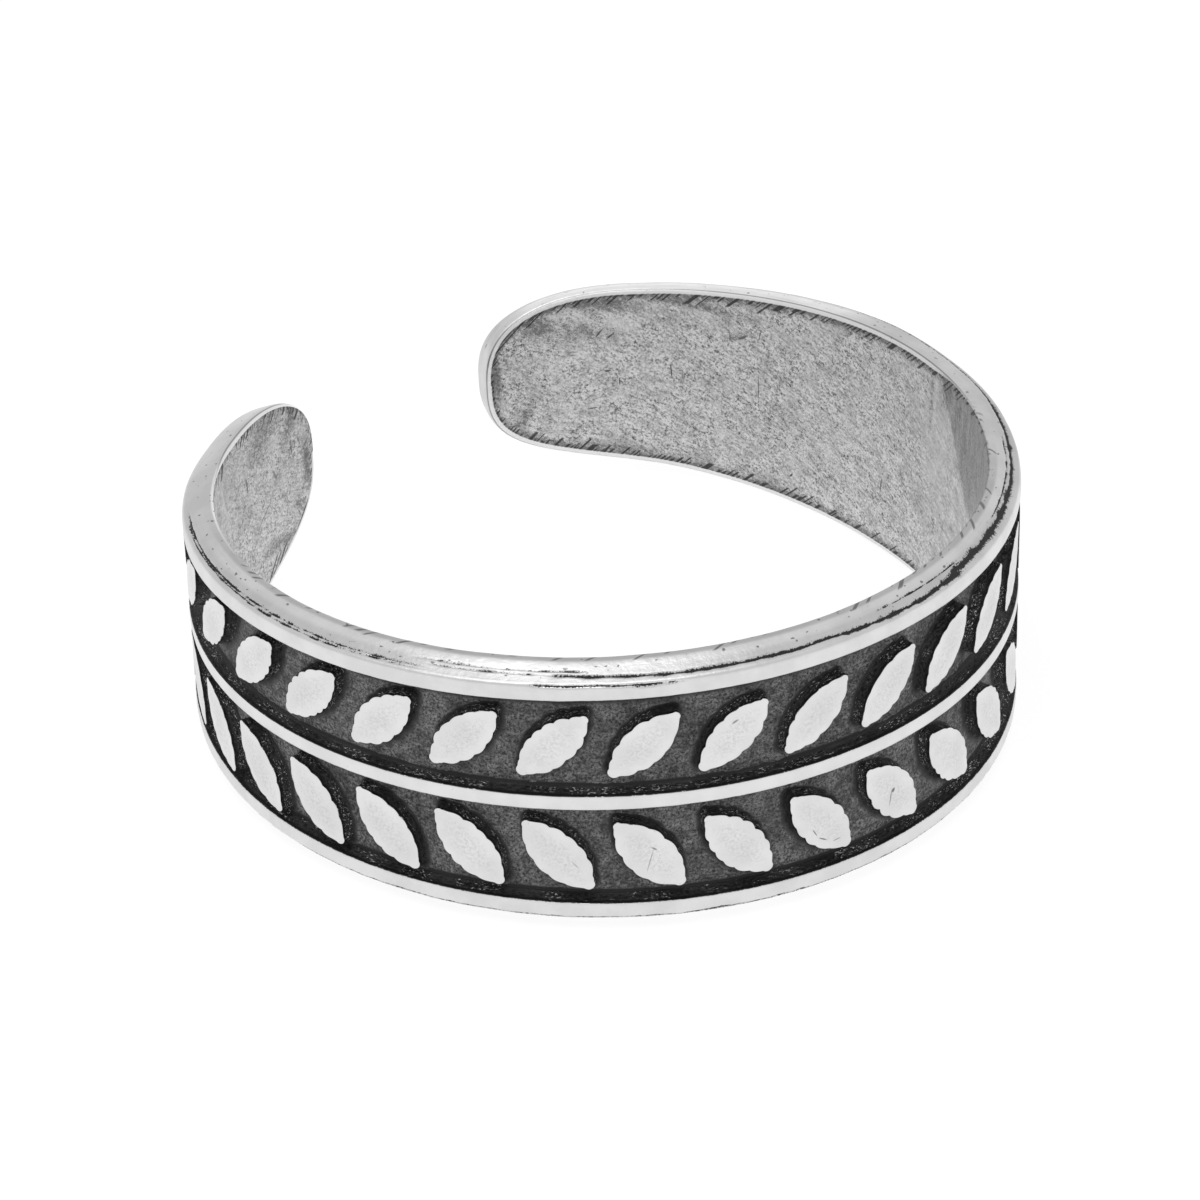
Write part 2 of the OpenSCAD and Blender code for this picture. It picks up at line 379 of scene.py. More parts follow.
# The worn lines along the upper rim: where each begins and ends, its way along the rim's
# section at both ends, its half width, and how much of it is broken into dashes
WORN_LINES = [
    (-17.6, -13.6, 0.5, 0.485, 0.02, 0.3), (-17.2, -13.6, 0.45, 0.435, 0.015, 0.4),
    (-13.6, -9, 0.49, 0.48, 0.018, 0.6), (-13.6, -9, 0.42, 0.43, 0.017, 0.7),
    (-9, -5.8, 0.65, 0.64, 0.012, 0.6), (-8.8, -6.2, 0.56, 0.56, 0.01, 0.75),
    (-6.2, -4, 0.54, 0.49, 0.022, 0.1), (-6.6, -3.9, 0.33, 0.29, 0.016, 0.15),
    (-4.3, -0.9, 0.47, 0.49, 0.026, 0.05), (-1.1, 0.8, 0.5, 0.43, 0.034, 0),
    (0.6, 3, 0.425, 0.44, 0.048, 0), (2.7, 6.4, 0.51, 0.54, 0.064, 0),
    (6, 10.5, 0.54, 0.5, 0.034, 0), (10, 16, 0.5, 0.46, 0.024, 0.2),
    (0.7, 3.1, 0.64, 0.64, 0.014, 0.6), (4.8, 8.6, 0.665, 0.65, 0.014, 0.5),
    (16, 23, 0.45, 0.45, 0.014, 0.5),
]
# The same along the lower rim, where little of them shows. The first, all along at way
# 0.33, is painted shade at the lower edge, where the rim turns under toward the floor.
LOWER_LINES = [
    (-21, 21, 0.33, 0.33, 0.02, 0.15), (-20, -6, 0.46, 0.44, 0.016, 0.45),
    (-6.5, 4, 0.43, 0.46, 0.02, 0.35), (3.5, 18, 0.47, 0.45, 0.018, 0.5),
    (-12, 9, 0.62, 0.62, 0.012, 0.65),
]
# Over how far a worn line begins and ends
LINE_FADE = 0.25


def rounded(points):
    """The polyline with its corners cut off."""
    p = np.array(points, float)
    for _ in range(ROUND_PASSES):
        a, b = p[:-1], p[1:]
        cut = np.stack([0.75 * a + 0.25 * b, 0.25 * a + 0.75 * b], 1).reshape(-1, 2)
        p = np.concatenate([p[:1], cut[1:-1], p[-1:]])
    return p


def rim_section(rows, points):
    """Distance from the crest line and depth at each way along the rim's section, with
    the inward normal there. The way is measured along the section at the front."""
    p = rounded(points)
    way = np.r_[0, np.cumsum(np.hypot(*np.diff(rounded(RIM), axis=0).T))]
    steps = (0.0, SECTION_STEP, -SECTION_STEP)
    at, ahead, behind = ([np.interp(rows + step, way, p[:, k]) for k in range(2)]
                         for step in steps)
    dv, dd = ahead[0] - behind[0], ahead[1] - behind[1]
    size = np.hypot(dv, dd)
    return at[0], at[1], dd / size, -dv / size


def flatness(s):
    """How flat the rims are at s, from 0 to 1. They get flat at the right side, more so
    at the right back, a little less at the right end, and less at the left end."""
    right_side, right_back = 0.45 * smooth(8.0, 11.0, s), 0.55 * smooth(12.5, 15.0, s)
    right = right_side + right_back - 0.15 * smooth(17.5, 19.5, s)
    return right + 0.42 * smooth(13.0, 18.0, -s)


def worn(s, way, lines, seed):
    """How deep the worn lines are, from 0 to 1, with the line of painted shade along the
    lower edge among them.
    """
    total = 0.0 * s
    for k, (start, end, at_start, at_end, half, broken) in enumerate(lines):
        share = np.clip((s - start) / (end - start), 0, 1)
        at = at_start + (at_end - at_start) * share
        bend = 0.016 * fractal(s * 1.3, k * 7.1, seed)
        at = at + bend + 0.25 * half * noise(s * 7.0, k * 5.3, seed + 3)
        swell = 0.40 * noise(s * 4.1, k * 3.3, seed + 4)
        width = half * (1 + swell + 0.45 * noise(s * 13.0, way * 9, seed + 5))
        begun = smooth(start - LINE_FADE, start + LINE_FADE, s)
        there = begun * (1 - smooth(end - LINE_FADE, end + LINE_FADE, s))
        gaps = 1 - broken * smooth(-0.25, 0.15, noise(s * 6.5, k * 2.9, seed + 6))
        total = np.maximum(total, there * gaps * np.exp(-((way - at) / width) ** 2))
    return total


class Rim:
    """Closed rows of points round the band, offset from the crest line."""

    def __init__(self, shell):
        self.shell = shell
        self.s, self.z, self.ns, self.nz = outline()

    def both(self, v):
        """The row at distance v from the crest line as s and z: the upper side from the
        left tip to the right tip, then the lower side back."""
        back = slice(-2, 0, -1)
        s, z = np.r_[self.s, self.s[back]], np.r_[self.z, -self.z[back]]
        ns, nz = np.r_[self.ns, self.ns[back]], np.r_[self.nz, -self.nz[back]]
        return s - v * ns, z - v * nz

    def row(self, v, d, dark, along=0.0):
        """Adds that row at depth d."""
        s, z = self.both(v)
        return self.shell.add(s, z, d, dark, along)


def foot_rows(rim):
    """The rows of the panels' walls, from the foot to the edge."""
    rows = []
    for k, (v_up, v_down, d, dark_up, dark_down) in enumerate(FOOT):
        s, z = rim.both(v_up)
        side = np.where(z > 0, 0.0, APART)
        blend = smooth(-0.5, 0.5, z)
        v = v_down + (v_up - v_down) * blend
        jag = (0.010 * noise(s * 8.0, side + k * 0.35, FOOT_SEED)
               + 0.006 * noise(s * 19.0, side + k, FOOT_SEED + 1))
        v = v + jag * min(1, k / FOOT_STEEP)
        rows.append(rim.row(v, d, dark_down + (dark_up - dark_down) * blend))
    return rows


def section_rows(rim):
    """The rows over the border and the crest down to the inner wall, with worn lines and a
    line of painted shade along the lower edge.
    """
    rows = []
    sections = zip(RIM_ROWS, *rim_section(RIM_ROWS, RIM), *rim_section(RIM_ROWS, FLAT_RIM))
    flat = flatness(rim.both(0.0)[0])
    for way, *values in sections:
        v, d, nv, nd = (a + (b - a) * flat for a, b in zip(values[:4], values[4:]))
        s, z = rim.both(v)
        side = np.where(z > 0, 0.0, APART)
        upper_lines = worn(s, way, WORN_LINES, UPPER_WEAR_SEED)
        deep = np.where(z > 0, upper_lines, worn(s, way, LOWER_LINES, LOWER_WEAR_AND_SHADE_SEED))
        dent = GROOVE_DEPTH * deep + DENT_DEPTH * fractal(s * 1.3, side + way * 2, DENT_SEED)
        rows.append(rim.row(v + dent * nv, d + dent * nd, deep, way))
    return rows


def band_piece(materials):
    shell = Shell()
    rim = Rim(shell)
    rows = foot_rows(rim)
    slots = [RECESS if k < FOOT_STEEP else CAST_WALL for k in range(len(rows))]
    rows += section_rows(rim)
    slots += [WORN_RIM if way < RIM_END_WAY else INNER for way in RIM_ROWS]
    for k in range(1, len(rows)):
        shell.band(rows[k - 1], rows[k], slots[k])
    patch(shell, rows[0], FLOOR_ROWS, floor_depth, RECESS, True)
    patch(shell, rows[-1], INNER_ROWS, inner_depth, INNER, False)
    return shell.piece("cast_band", materials)


def floor_depth(s, z):
    """Depth of the panels' floor, with its unevenness."""
    waves = FOOT[0][2] + 0.010 * fractal(s * 2.2, z * 2.2, FLOOR_SEED)
    return waves + 0.004 * noise(s * 9, z * 9, FLOOR_SEED + 4)


def inner_depth(s, z):
    """Depth of the inner wall, with its unevenness."""
    return WALL + 0.006 * fractal(s * 0.8, z * 0.8, INNER_SEED)


def patch(shell, edge, count, depth, slot, outward):
    """Fills a closed row with columns of faces from its upper to its lower half."""
    n = COLUMNS
    flat = np.concatenate(shell.flat)
    upper, lower = flat[edge[1:n]], flat[edge[:n:-1]]
    share = np.linspace(0, 1, count + 1)[1:-1]
    s, z = (upper[:, None, k] + (lower - upper)[:, None, k] * share for k in (0, 1))
    near = np.minimum(upper[:, None, 1] - z, z - lower[:, None, 1])
    edge_d = upper[:, None, 2]
    d = edge_d + (depth(s, z) - edge_d) * np.minimum(1, near / PATCH_BLEND)
    reach = np.minimum(near, np.minimum(s + LEFT_TIP_S, RIGHT_TIP_S - s))
    inside = shell.add(s, z, d, 0.0, RIM_ROWS[-1] + reach).reshape(n - 1, count - 1)
    column = [[edge[0]] * (count + 1)]
    for i in range(1, n):
        column.append([edge[i], *inside[i - 1], edge[2 * n - i]])
    column.append([edge[n]] * (count + 1))
    for a, b in zip(column[:-1], column[1:]):
        for k in range(count):
            loop = list(dict.fromkeys([a[k], b[k], b[k + 1], a[k + 1]]))
            shell.face(loop[::-1] if outward else loop, slot)


RIDGE_STEPS = 1100
# The ridge ends this far from the tips, and sinks into the border before that
RIDGE_END = 0.45
RIDGE_SINK = 0.02
SINK_FROM, SINK_TO = 0.75, 0.55
# Half of the ridge's section. Columns: height from its middle, depth and tarnish
RIDGE_SECTION = [
    (0, -0.004, 0), (0.07, -0.003, 0), (0.122, 0, 0), (0.146, 0.005, 0), (0.156, 0.018, 1),
    (0.162, 0.05, 0.95), (0.17, 0.11, 0.45), (0.182, 0.19, 0.4), (0.2, 0.258, 0.55),
    (0.226, 0.29, 0.95), (0.262, 0.298, 0.95), (0.32, 0.303, 0), (0.32, 0.345, 0),
]


def ridge_piece(materials):
    shell = Shell()
    s = np.linspace(-LEFT_TIP_S + RIDGE_END, RIGHT_TIP_S - RIDGE_END, RIDGE_STEPS)
    from_tip = np.minimum(s + LEFT_TIP_S, RIGHT_TIP_S - s)
    sunk = RIDGE_SINK * (1 - smooth(SINK_TO, SINK_FROM, from_tip))
    half = RIDGE_SECTION
    ring = [(*row, 1) for row in half] + [(-z, d, dark, -1) for z, d, dark in half[:0:-1]]
    rows, kinds = [], []
    for z, d, dark, side in ring:
        jag = (0.009 * noise(s * 8.0, side * 9 + d * 12, RIDGE_SEED)
               + 0.006 * noise(s * 21, side * 7 + d * 30, RIDGE_SEED + 1))
        jag = jag * (1.0 if 0.03 < d < 0.28 else 0.3)
        rows.append(shell.add(s, z + side * jag, d + sunk, dark))
        kinds.append(POLISHED if d < 0.01 else (CAST_WALL if d < 0.27 else RECESS))
    n = len(rows)
    for k in range(n):
        j = (k + 1) % n
        between = {kinds[k], kinds[j]}
        slot = RECESS if RECESS in between else max(between)
        shell.band(rows[k], rows[j], slot, closed=False)
    shell.face([r[0] for r in rows], RECESS)
    shell.face([r[-1] for r in rows][::-1], RECESS)
    return shell.piece("middle_ridge", materials)


# Points along each side of a leaf, and rows across its top
STATIONS = 88
CAP_ROWS = 5
CAP_RISE = 0.004
# Radii of a leaf's two ends, and the number and depth of the scallops on each side
STEM_R = 0.125
TIP_R = 0.095
SCALLOPS = 6.0
SCALLOP_D = 0.050
# The leaf's wall, from its top edge to its foot. Columns: distance out from the edge,
# depth and tarnish
LEAF_WALL = [
    (-0.012, 0, 0), (-0.003, 0.0005, 0), (0, 0.005, 0), (0.003, 0.02, 1), (0.007, 0.08, 0.6),
    (0.012, 0.15, 0.3), (0.018, 0.21, 0.35), (0.028, 0.258, 0.6), (0.042, 0.284, 0.85),
]
# The tarnished floor round its foot, wider on the side that faces down, where the extra
# width is painted shade below the leaf. Columns: share of its width, depth and tarnish
# with that painted shade
SKIRT = [(0.35, 0.294, 0.60), (0.70, 0.299, 0.28), (1.0, 0.307, 0.0), (1.0, 0.345, 0.0)]
SKIRT_UP = 0.03
SHADED_SKIRT_DOWN = 0.21
# The first rows are part of the bright top. The ones from there to the last row of the
# wall are jagged.
TOP_ROWS = 3
LAST_WALL_ROW = 8
# What sets the random shapes of the leaves of the two rows apart
UPPER_LEAF_SEED, LOWER_LEAF_SEED = 60, 100


def leaf_half_width(u, side, seed, length, width):
    """Half width of a leaf at a share u of its length, with its scallops."""
    body = width / 2 * (1 - abs(2 * u - 1.0) ** 2.25) ** 0.90
    warp = u + 0.045 * noise(u * 3.0, seed * 2.3 + side * 7.0, BODY_SEED)
    start = 0.5 * noise(np.full(1, seed * 1.7), side * 3.0, START_SEED)[0]
    count = SCALLOPS + noise(np.full(1, seed * 3.7), side * 9.0, COUNT_SEED)[0]
    scallop = abs(np.sin(np.pi * (count * warp + start))) ** 0.8 - 0.8
    size = SCALLOP_D * (0.75 + 0.6 * noise(u * 4.0, seed * 1.9 + side * 2.0, SCALLOP_SEED))
    fade = smooth(0.04, 0.14, u) * smooth(0.04, 0.14, 1 - u)
    uneven = 0.012 * noise(u * 5 + seed * 3.1, side * 5.0, OUTLINE_SEED)
    body = body + fade * (size * scallop + uneven)
    ends = []
    for r, dist in ((STEM_R, u * length), (TIP_R, (1 - u) * length)):
        round_end = np.sqrt(np.maximum(0, r * r - np.maximum(0, r - dist) ** 2))
        ends.append(round_end * (1 - smooth(1.5 * r, 3.5 * r, dist)))
    return np.maximum(body, np.maximum(*ends))


def leaf_outline(length, width, seed):
    """A leaf's edge as places along and across it, with the outward normals there."""
    even = np.linspace(0, 1, STATIONS + 1)
    u = 0.55 * (0.5 - 0.5 * np.cos(np.pi * even)) + 0.45 * even
    a = (u - 0.5) * length
    left = leaf_half_width(u, 1, seed, length, width)
    right = -leaf_half_width(u, -1, seed, length, width)
    left[[0, -1]] = right[[0, -1]] = 0.0
    edge_a = np.r_[a, a[-2:0:-1]]
    edge_b = np.r_[left, right[-2:0:-1]]
    along = np.stack([edge_a, edge_b])
    along = np.roll(along, -1, 1) - np.roll(along, 1, 1)
    for _ in range(2):
        along = 0.25 * np.roll(along, 1, 1) + 0.5 * along + 0.25 * np.roll(along, -1, 1)
    da, db = along
    size = np.hypot(da, db)
    return edge_a, edge_b, -db / size, da / size


def leaf_place(row, centre_s, sizes):
    """A function from places along and across a leaf to s and z. Where the panel is too
    low, the leaf moves toward the ridge and then gets smaller."""
    length, width, slant, height = sizes
    slant = math.radians(slant)
    panel = float(crest_z(np.array([centre_s]))[0]) - PANEL_EDGE - RIDGE_W / 2
    tall = math.hypot(length * math.sin(slant), width * math.cos(slant))
    fit = min(1.0, (panel - 2 * LEAF_CLEAR) / tall)
    above_ridge = min(height, panel - LEAF_CLEAR - fit * tall / 2)
    rise = LEAF_RISE * smooth(RISE_FROM, RISE_TO, abs(centre_s - LOWEST_LEAF_S))
    middle_z = row * (RIDGE_W / 2 + above_ridge) + rise

    def put(along, across):
        s = centre_s + row * fit * (along * math.cos(slant) - across * math.sin(slant))
        z = middle_z + fit * (along * math.sin(slant) + across * math.cos(slant))
        return s, z

    return put


def leaf(shell, row, centre_s, sizes, seed):
    """One leaf: its wall with the floor round it, its top and its hidden underside."""
    length, width, slant, _ = sizes
    slant = math.radians(slant)
    edge_a, edge_b, na, nb = leaf_outline(length, width, seed)
    put = leaf_place(row, centre_s, sizes)
    where = np.arange(len(edge_a)) / len(edge_a)
    # The skirt is wider where the edge faces down: painted shade below the leaf.
    facing_down = 0.5 - 0.5 * (na * math.sin(slant) + nb * math.cos(slant))
    skirt = SKIRT_UP + (SHADED_SKIRT_DOWN - SKIRT_UP) * facing_down
    foot_out = LEAF_WALL[-1][0]
    levels = LEAF_WALL + [(foot_out + share * skirt, d, dark) for share, d, dark in SKIRT]
    rows = []
    for k, (out, d, dark) in enumerate(levels):
        jag = 0.0
        if TOP_ROWS <= k <= LAST_WALL_ROW:
            jag = (0.010 * noise(where * 90, k * 0.5 + seed, LEAF_WALL_SEED)
                   + 0.008 * noise(where * 41, k * 0.3 + seed, LEAF_WALL_SEED + 1))
        s, z = put(edge_a + (out + jag) * na, edge_b + (out + jag) * nb)
        rows.append(shell.add(s, z, d, dark))
    for k in range(1, len(rows)):
        below = CAST_WALL if k < LAST_WALL_ROW else RECESS
        shell.band(rows[k - 1], rows[k], POLISHED if k < TOP_ROWS else below)
    top_out = LEAF_WALL[0][0]
    leaf_top(shell, rows[0], put, edge_a + top_out * na, edge_b + top_out * nb)
    leaf_underside(shell, rows[-1])


def leaf_top(shell, edge, put, edge_a, edge_b):
    """The leaf's nearly flat top, in rows across it."""
    share = np.linspace(0, 1, CAP_ROWS + 1)[1:-1]
    grid = [[edge[0]] * (CAP_ROWS + 1)]
    for i in range(1, STATIONS):
        j = len(edge) - i
        s, z = put(*(e[i] + (e[j] - e[i]) * share for e in (edge_a, edge_b)))
        middle = np.sin(np.pi * share) * math.sin(math.pi * i / STATIONS)
        inside = shell.add(s, z, -CAP_RISE * np.sin(np.pi * share), 0.0, middle)
        grid.append([edge[i], *inside, edge[j]])
    grid.append([edge[STATIONS]] * (CAP_ROWS + 1))
    for a, b in zip(grid[:-1], grid[1:]):
        shell.band(a, b, POLISHED, closed=False)


def leaf_underside(shell, foot):
    n = len(foot)
    for i in range(1, STATIONS + 1):
        shell.face([foot[i - 1], foot[i], foot[n - i], foot[(n - i + 1) % n]], RECESS)


def leaf_row(name, row, sizes, materials):
    """All leaves above (row 1) or below (row -1) the ridge, in one piece."""
    pitch, shift, length = sizes[:3]
    margin = ROUND_L / 2 + length / 3
    first = math.ceil((margin - LEFT_TIP_S - shift) / pitch)
    last = math.floor((RIGHT_TIP_S - margin - shift) / pitch)
    shell = Shell(mirrored=row < 0)
    row_seed = UPPER_LEAF_SEED if row > 0 else LOWER_LEAF_SEED
    for k in range(first, last + 1):
        leaf(shell, row, shift + k * pitch, sizes[2:], k + row_seed)
    return shell.piece(name, materials)


class Nodes:
    """Short calls to build a node material. A tone is a grey from 0 to 1."""

    def __init__(self, name):
        self.material = bpy.data.materials.new(name)
        self.material.use_nodes = True
        self.tree = self.material.node_tree
        self.shader = self.tree.nodes["Principled BSDF"]

    def node(self, kind, inputs=None, **settings):
        n = self.tree.nodes.new(kind)
        for key, value in settings.items():
            setattr(n, key, value)
        for key, value in (inputs or {}).items():
            self.plug(value, n.inputs[key])
        return n

    def plug(self, value, socket):
        if isinstance(value, bpy.types.NodeSocket):
            self.tree.links.new(value, socket)
        else:
            socket.default_value = value

    def attribute(self, name, output="Vector"):
        return self.node("ShaderNodeAttribute", attribute_name=name).outputs[output]

    def scaled(self, vector, factors):
        inputs = {0: vector, 1: factors}
        return self.node("ShaderNodeVectorMath", inputs, operation="MULTIPLY").outputs[0]

    def math(self, operation, a, b=0.0):
        return self.node("ShaderNodeMath", {0: a, 1: b}, operation=operation).outputs[0]

    def add(self, a, b):
        return self.math("ADD", a, b)

    def times(self, a, b):
        return self.math("MULTIPLY", a, b)

    def most(self, a, b):
        return self.math("MAXIMUM", a, b)

    def minus(self, a, b):
        return self.math("SUBTRACT", a, b)

    def noise(self, vector, scale, detail, roughness):
        inputs = {"Vector": vector, "Scale": scale, "Detail": detail, "Roughness": roughness}
        return self.node("ShaderNodeTexNoise", inputs).outputs["Fac"]

    def stretched_noise(self, vector, scales, detail, roughness):
        return self.noise(self.scaled(vector, scales), 1.0, detail, roughness)

    def ramp(self, value, lo, hi, from_=0.0, to=1.0):
        """A soft step: from_ where the value is lo, to where it is hi."""
        inputs = {"Value": value, "From Min": lo, "From Max": hi, "To Min": from_, "To Max": to}
        return self.node("ShaderNodeMapRange", inputs, interpolation_type="SMOOTHSTEP").outputs[0]

    def spread(self, value, size, lo=0.3, hi=0.7):
        """From -size to size while the value goes from lo to hi."""
        return self.ramp(value, lo, hi, -size, size)

    def split(self, vector):
        return self.node("ShaderNodeSeparateXYZ", {"Vector": vector}).outputs[:3]

    def spots(self, table, soft):
        """1 inside the slanted ovals that a table lists, and 0 outside them."""
        flat = self.scaled(self.attribute("flat"), (1, 1, 0))
        total = 0.0
        for s, z, slant, length, width, strength in table:
            local = self.node("ShaderNodeMapping", {
                "Vector": flat, "Location": (s, z, 0), "Rotation": (0, 0, math.radians(slant)),
                "Scale": (length, width, 1),
            }, vector_type="TEXTURE").outputs[0]
            far = self.node("ShaderNodeVectorMath", {0: local}, operation="LENGTH")
            inside = self.ramp(far.outputs["Value"], 1.0 + soft, 1.0 - soft)
            total = self.most(self.times(inside, strength), total)
        return total

    def strokes(self, across, depth, pitch, longest, thick):
        """File strokes from an edge inward: one in each pitch across them, of unequal
        length, and a share of the pitch thick."""
        count = self.math("DIVIDE", across, pitch)
        wobble = self.node("ShaderNodeTexNoise", {"W": count, "Scale": 0.31, "Detail": 1.0},
                           noise_dimensions="1D").outputs["Fac"]
        count = self.add(count, self.times(wobble, 2.0))
        chance = self.node("ShaderNodeTexWhiteNoise", {"W": self.math("FLOOR", count)},
                           noise_dimensions="1D").outputs["Value"]
        middle = self.math("ABSOLUTE", self.minus(self.math("FRACT", count), 0.5))
        line = self.ramp(middle, thick, thick * 0.6)
        reach = self.times(self.math("POWER", chance, 1.7), longest)
        return self.times(line, self.ramp(self.minus(reach, depth), 0.0, 0.05))

    def mix(self, factor, a, b):
        """From a to b while the factor goes from 0 to 1."""
        return self.node("ShaderNodeMix", {0: factor, 2: a, 3: b}, data_type="FLOAT").outputs[0]

    def bump(self, height, strength, distance):
        inputs = {"Height": height, "Strength": strength, "Distance": distance}
        return self.node("ShaderNodeBump", inputs).outputs[0]

    def surface(self, looks):
        for key, value in looks.items():
            self.plug(value, self.shader.inputs[key])
        return self.material

    def finish(self, tone, roughness, metallic, normal):
        grey = self.node("ShaderNodeCombineColor", {0: tone, 1: tone, 2: tone}).outputs[0]
        return self.surface({"Base Color": grey, "Roughness": roughness,
                             "Metallic": metallic, "Normal": normal})


# Heights of the bumps, in metres
GRAIN_BUMP = 0.00004
SMOOTH_BUMP = 0.00003
# Tones of the tarnish on each part. The ones of the panels and the rims also give the
# painted shade below the leaves and along the lower edge
RECESS_BLACK = 0.007
WALL_BLACK = 0.006
RIM_BLACK = 0.02
DARKEST = 0.004
# Tones of scratches and strokes on the bright parts and on the inner wall, and of the
# inner wall's blotches, pale places and edges
SCRATCH_TONE = 0.10
STROKE_TONE = 0.04
BLOTCH_TONE = 0.09
PALE_TONE = 0.66
EDGE_TONE = 0.80


def recess_material():
    """The sunken panels: tarnished, grainy, nearly black beside the walls, with painted
    shade on the wider skirt below each leaf.
    """
    m = Nodes("tarnished_recess")
    flat, dark = m.attribute("flat"), m.attribute("dark", "Fac")
    cloud = m.noise(flat, 1.4, 4.0, 0.6)
    blotch = m.noise(flat, 5.0, 4.0, 0.65)
    grain = m.noise(flat, 17.0, 3.0, 0.8)
    glints = m.ramp(m.noise(flat, 24.0, 1.0, 0.5), 0.69, 0.76)
    holes = m.ramp(m.noise(flat, 13.0, 2.0, 0.6), 0.36, 0.28)
    tone = m.ramp(cloud, 0.36, 0.64, 0.075, 0.120)
    tone = m.times(tone, m.ramp(blotch, 0.34, 0.62, 0.50, 1.25))
    tone = m.times(tone, m.ramp(grain, 0.34, 0.66, 0.10, 2.1))
    tone = m.mix(m.times(glints, 0.6), tone, 0.30)
    tone = m.mix(m.times(holes, 0.8), tone, 0.008)
    # Nearly black from tarnish beside the walls, and from painted shade below the leaves.
    beside_wall = m.ramp(m.add(dark, m.spread(grain, 0.25)), 0.15, 0.95)
    tone = m.mix(beside_wall, tone, RECESS_BLACK)
    return m.finish(m.most(tone, DARKEST), 0.6, 0.0, m.bump(grain, 0.6, GRAIN_BUMP))


# Scratches on the leaves. Columns: s, z, slant, half length, half width and strength
LEAF_MARKS = [
    (0.76, -1.2, 60, 0.05, 0.035, 0.9), (0.69, -1.34, 80, 0.17, 0.012, 0.8),
    (-4.44, -1.08, 150, 0.06, 0.018, 0.7), (-4.52, -1.34, 75, 0.24, 0.011, 0.5),
    (-1.16, -1.44, 120, 0.09, 0.012, 0.8), (-0.98, -1.64, 150, 0.1, 0.014, 0.8),
    (-0.66, -1.76, 10, 0.08, 0.011, 0.7), (-10.74, 0.74, 80, 0.22, 0.014, 0.6),
    (-2.82, 1.54, 30, 0.07, 0.02, 0.7), (-15.6, -1.86, 130, 0.14, 0.02, 0.8),
    (-16, -2.1, 80, 0.16, 0.018, 0.7), (-5.96, -1.4, 130, 0.1, 0.012, 0.4),
]


def polished_material():
    """Ridge and leaf tops: worn bright, faintly mottled where they are least worn."""
    m = Nodes("polished_silver")
    flat = m.attribute("flat")
    _, middle, _ = m.split(m.attribute("rim"))
    cloud = m.noise(flat, 1.1, 4.0, 0.6)
    mottle = m.noise(flat, 16.0, 3.0, 0.75)
    specks = m.ramp(m.noise(flat, 11.0, 2.0, 0.6), 0.68, 0.76)
    faded = m.times(m.ramp(middle, 0.25, 0.95), m.ramp(mottle, 0.40, 0.66))
    tone = m.ramp(cloud, 0.35, 0.65, 0.69, 0.75)
    tone = m.mix(m.times(faded, 0.55), tone, 0.50)
    tone = m.mix(m.times(specks, 0.35), tone, 0.25)
    tone = m.mix(m.spots(LEAF_MARKS, 0.4), tone, SCRATCH_TONE)
    return m.finish(tone, 0.36, 1.0, m.bump(m.noise(flat, 9.0, 3.0, 0.6), 0.2, SMOOTH_BUMP))


def rim_painted_light(m, s, way, back):
    """The tone along the rim's section at the front, then at the left end, the right side
    and the right back: painted highlight and shade in bands across the section, and a
    painted highlight along the inner edge at the left end."""
    tone = m.ramp(way, 0.30, 0.55, 0.70, 0.60)
    tone = m.mix(m.ramp(way, 0.60, 0.74), tone, 0.72)
    tone = m.mix(m.ramp(way, 0.82, 0.90), tone, 0.52)
    left_end, right_side = m.ramp(s, -14.5, -17.5), m.ramp(s, 6.0, 9.0)
    tone = m.mix(left_end, tone, m.ramp(way, 0.97, 1.00, 0.62, 0.92))
    tone = m.mix(right_side, tone, m.ramp(way, 0.60, 0.96, 0.56, 0.66))
    return m.mix(back, tone, m.ramp(way, 0.52, 0.72, 0.62, 0.95))


def rim_file_marks(m, s, way):
    """Short strokes where the rim meets the inner wall, all along the front."""
    depth = m.minus(1.03, way)
    across = m.add(s, m.times(depth, 1.6))
    front = m.times(m.ramp(s, 10.5, 9.0), m.ramp(s, -15.5, -14.0))
    smudges = m.times(m.strokes(across, depth, 0.33, 0.26, 0.20), front)
    return m.times(smudges, m.ramp(way, 1.07, 1.02))


def rim_hairlines(m, rim, way, back):
    """Thin lines along the rim, mostly at the right back."""
    hair = m.stretched_noise(rim, (0.5, 34.0, 0.0), 2.0, 0.6)
    lines = m.times(m.ramp(hair, 0.60, 0.68), m.ramp(way, 0.32, 0.40))
    return m.times(lines, m.most(m.times(back, 0.5), 0.2))


def rim_crease(m, s, way):
    """The dark line between rim and inner wall at the left end and on the right."""
    crease_way = m.ramp(s, -19.0, -21.0, 1.025, 0.955)
    crease = m.ramp(m.math("ABSOLUTE", m.minus(way, crease_way)), 0.022, 0.008)
    return m.times(crease, m.most(m.ramp(s, -18.0, -21.0), m.ramp(s, 9.0, 12.0)))


